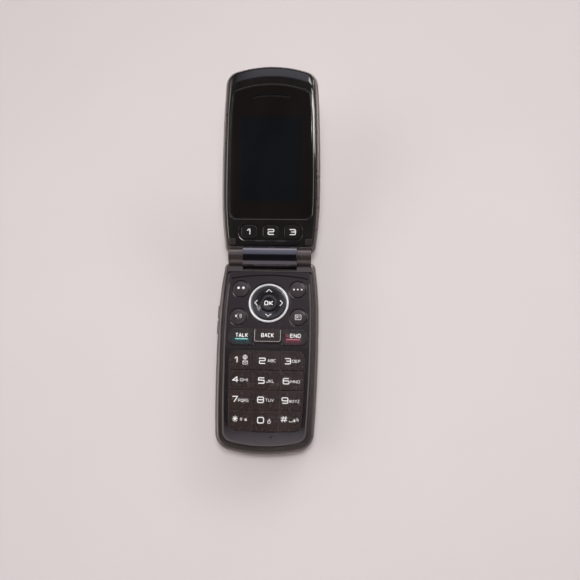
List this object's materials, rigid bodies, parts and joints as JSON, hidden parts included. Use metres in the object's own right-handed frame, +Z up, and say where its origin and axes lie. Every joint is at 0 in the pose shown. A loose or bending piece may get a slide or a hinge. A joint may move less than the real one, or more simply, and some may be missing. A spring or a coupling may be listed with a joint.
{
  "type": "clamshell mobile phone",
  "caption": "Clamshell phone, shown open: lower half with number pad, call keys and round navigation key, and a hinged lid with display window and a row of quick keys.",
  "frame": {"origin": "on the surface that the phone lies on, in the middle of the back of the lower half (on the battery cover)", "axes": "+Z up out of the number keys, +Y from the chin to the hinge and the lid, +X to the right of a person who looks at the keys"},
  "size_m": [0.0471, 0.1765, 0.0416],
  "materials": {
    "housing": "satin dark grey painted plastic",
    "lid_shell": "satin dark grey painted plastic",
    "keypad_face": "fine matt charcoal plastic",
    "chrome_ring": "bright plated ring",
    "nav_black": "gloss black plastic",
    "key_plastic": "soft matt dark plastic with light legends",
    "lid_band": "metallic grey paint on plastic",
    "piano_black": "polished black plastic",
    "window": "dark glossy acrylic window",
    "lcd": "dark display, switched off",
    "rubber_black": "matt black rubber",
    "silicone": "translucent grey silicone",
    "steel": "plain steel",
    "circuit": "green circuit board",
    "gold": "gold-plated contacts",
    "battery_case": "grey wrapped aluminium can",
    "mesh": "fine dark metal mesh over a small speaker",
    "black_part": "plain black plastic",
    "cable": "amber film"
  },
  "bodies": {
    "base": {"rear_housing": "housing", "front_housing": "housing", "keypad_plate": "keypad_face", "nav_trim_ring": "chrome_ring", "keypad_mat": "silicone", "dome_switches": "steel", "main_board": "circuit", "shield_cans": "steel", "battery": "battery_case", "battery_contacts": "gold", "vibration_motor": "steel", "loudspeaker": "black_part", "antenna": "gold", "microphone": "black_part", "headset_socket": "black_part", "charging_port": "steel", "housing_screws": "steel", "hinge_cam": "steel", "hinge_bush": "steel"},
    "lid": {"lid_cover": "lid_shell", "lid_frame": "lid_band", "lid_bezel": "piano_black", "display_window": "window", "lcd_module": "lcd", "earpiece": "mesh", "lid_board": "circuit", "outer_window": "window", "outer_display": "lcd", "lid_cable": "cable", "hinge_cartridge": "steel", "lid_screw_plugs": "rubber_black"},
    "nav_rocker": {"nav_rocker": "black_part"},
    "nav_key": {"nav_key": "nav_black"},
    "ok_key": {"ok_key": "nav_black"},
    "soft_key_left": {"soft_key_left": "key_plastic"},
    "soft_key_right": {"soft_key_right": "key_plastic"},
    "speaker_key": {"speaker_key": "key_plastic"},
    "contacts_key": {"contacts_key": "key_plastic"},
    "talk_key": {"talk_key": "key_plastic"},
    "back_key": {"back_key": "key_plastic"},
    "end_key": {"end_key": "key_plastic"},
    "key_1": {"key_1": "key_plastic"},
    "key_2": {"key_2": "key_plastic"},
    "key_3": {"key_3": "key_plastic"},
    "key_4": {"key_4": "key_plastic"},
    "key_5": {"key_5": "key_plastic"},
    "key_6": {"key_6": "key_plastic"},
    "key_7": {"key_7": "key_plastic"},
    "key_8": {"key_8": "key_plastic"},
    "key_9": {"key_9": "key_plastic"},
    "key_star": {"key_star": "key_plastic"},
    "key_0": {"key_0": "key_plastic"},
    "key_hash": {"key_hash": "key_plastic"},
    "quick_key_1": {"quick_key_1": "piano_black"},
    "quick_key_2": {"quick_key_2": "piano_black"},
    "quick_key_3": {"quick_key_3": "piano_black"},
    "volume_key": {"volume_key": "key_plastic"},
    "port_flap": {"port_flap": "rubber_black"},
    "battery_cover": {"battery_cover": "housing"},
    "vibration_weight": {"vibration_weight": "steel"}
  },
  "joints": [
    {"name": "lid_hinge", "type": "hinge", "parent": "base", "child": "lid", "pos_m": [0, 0.047, 0.0123], "axis": [1, 0, 0], "range_deg": [0, 160]},
    {"name": "nav_rocker_tilt", "type": "hinge", "parent": "base", "child": "nav_rocker", "pos_m": [0, 0.0246, 0.00895], "axis": [1, 0, 0], "range_deg": [-2.6, 2.6], "stiffness_Nm_per_rad": 0.05},
    {"name": "nav_key_tilt", "type": "hinge", "parent": "nav_rocker", "child": "nav_key", "pos_m": [0, 0.0246, 0.00915], "axis": [0, 1, 0], "range_deg": [-2.6, 2.6], "stiffness_Nm_per_rad": 0.05},
    {"name": "ok_key_press", "type": "slide", "parent": "base", "child": "ok_key", "axis": [0, 0, -1], "range_m": [0, 0.0003], "stiffness_N_per_m": 800, "springref_m": -0.0004},
    {"name": "soft_key_left_press", "type": "slide", "parent": "base", "child": "soft_key_left", "axis": [0, 0, -1], "range_m": [0, 0.0003], "stiffness_N_per_m": 800, "springref_m": -0.0004},
    {"name": "soft_key_right_press", "type": "slide", "parent": "base", "child": "soft_key_right", "axis": [0, 0, -1], "range_m": [0, 0.0003], "stiffness_N_per_m": 800, "springref_m": -0.0004},
    {"name": "speaker_key_press", "type": "slide", "parent": "base", "child": "speaker_key", "axis": [0, 0, -1], "range_m": [0, 0.0003], "stiffness_N_per_m": 800, "springref_m": -0.0004},
    {"name": "contacts_key_press", "type": "slide", "parent": "base", "child": "contacts_key", "axis": [0, 0, -1], "range_m": [0, 0.0003], "stiffness_N_per_m": 800, "springref_m": -0.0004},
    {"name": "talk_key_press", "type": "slide", "parent": "base", "child": "talk_key", "axis": [0, 0, -1], "range_m": [0, 0.0003], "stiffness_N_per_m": 800, "springref_m": -0.0004},
    {"name": "back_key_press", "type": "slide", "parent": "base", "child": "back_key", "axis": [0, 0, -1], "range_m": [0, 0.0003], "stiffness_N_per_m": 800, "springref_m": -0.0004},
    {"name": "end_key_press", "type": "slide", "parent": "base", "child": "end_key", "axis": [0, 0, -1], "range_m": [0, 0.0003], "stiffness_N_per_m": 800, "springref_m": -0.0004},
    {"name": "key_1_press", "type": "slide", "parent": "base", "child": "key_1", "axis": [0, 0, -1], "range_m": [0, 0.0003], "stiffness_N_per_m": 800, "springref_m": -0.0004},
    {"name": "key_2_press", "type": "slide", "parent": "base", "child": "key_2", "axis": [0, 0, -1], "range_m": [0, 0.0003], "stiffness_N_per_m": 800, "springref_m": -0.0004},
    {"name": "key_3_press", "type": "slide", "parent": "base", "child": "key_3", "axis": [0, 0, -1], "range_m": [0, 0.0003], "stiffness_N_per_m": 800, "springref_m": -0.0004},
    {"name": "key_4_press", "type": "slide", "parent": "base", "child": "key_4", "axis": [0, 0, -1], "range_m": [0, 0.0003], "stiffness_N_per_m": 800, "springref_m": -0.0004},
    {"name": "key_5_press", "type": "slide", "parent": "base", "child": "key_5", "axis": [0, 0, -1], "range_m": [0, 0.0003], "stiffness_N_per_m": 800, "springref_m": -0.0004},
    {"name": "key_6_press", "type": "slide", "parent": "base", "child": "key_6", "axis": [0, 0, -1], "range_m": [0, 0.0003], "stiffness_N_per_m": 800, "springref_m": -0.0004},
    {"name": "key_7_press", "type": "slide", "parent": "base", "child": "key_7", "axis": [0, 0, -1], "range_m": [0, 0.0003], "stiffness_N_per_m": 800, "springref_m": -0.0004},
    {"name": "key_8_press", "type": "slide", "parent": "base", "child": "key_8", "axis": [0, 0, -1], "range_m": [0, 0.0003], "stiffness_N_per_m": 800, "springref_m": -0.0004},
    {"name": "key_9_press", "type": "slide", "parent": "base", "child": "key_9", "axis": [0, 0, -1], "range_m": [0, 0.0003], "stiffness_N_per_m": 800, "springref_m": -0.0004},
    {"name": "key_star_press", "type": "slide", "parent": "base", "child": "key_star", "axis": [0, 0, -1], "range_m": [0, 0.0003], "stiffness_N_per_m": 800, "springref_m": -0.0004},
    {"name": "key_0_press", "type": "slide", "parent": "base", "child": "key_0", "axis": [0, 0, -1], "range_m": [0, 0.0003], "stiffness_N_per_m": 800, "springref_m": -0.0004},
    {"name": "key_hash_press", "type": "slide", "parent": "base", "child": "key_hash", "axis": [0, 0, -1], "range_m": [0, 0.0003], "stiffness_N_per_m": 800, "springref_m": -0.0004},
    {"name": "quick_key_1_press", "type": "slide", "parent": "lid", "child": "quick_key_1", "axis": [0, 0.342, -0.9397], "range_m": [0, 0.0003], "stiffness_N_per_m": 800, "springref_m": -0.0004},
    {"name": "quick_key_2_press", "type": "slide", "parent": "lid", "child": "quick_key_2", "axis": [0, 0.342, -0.9397], "range_m": [0, 0.0003], "stiffness_N_per_m": 800, "springref_m": -0.0004},
    {"name": "quick_key_3_press", "type": "slide", "parent": "lid", "child": "quick_key_3", "axis": [0, 0.342, -0.9397], "range_m": [0, 0.0003], "stiffness_N_per_m": 800, "springref_m": -0.0004},
    {"name": "volume_key_rock", "type": "hinge", "parent": "base", "child": "volume_key", "pos_m": [-0.02255, 0.017, 0.0081], "axis": [0, 0, 1], "range_deg": [-2.4, 2.4], "stiffness_Nm_per_rad": 0.05},
    {"name": "port_flap_hinge", "type": "hinge", "parent": "base", "child": "port_flap", "pos_m": [0.02178, -0.0215, 0.0048], "axis": [0, 0, -1], "range_deg": [0, 85]},
    {"name": "battery_cover_slide", "type": "slide", "parent": "base", "child": "battery_cover", "axis": [0, -1, 0], "range_m": [0, 0.058]},
    {"name": "vibration_weight_spin", "type": "hinge", "parent": "base", "child": "vibration_weight", "pos_m": [-0.0156, 0.0237, 0.00385], "axis": [0, 1, 0], "continuous": true}
  ]
}
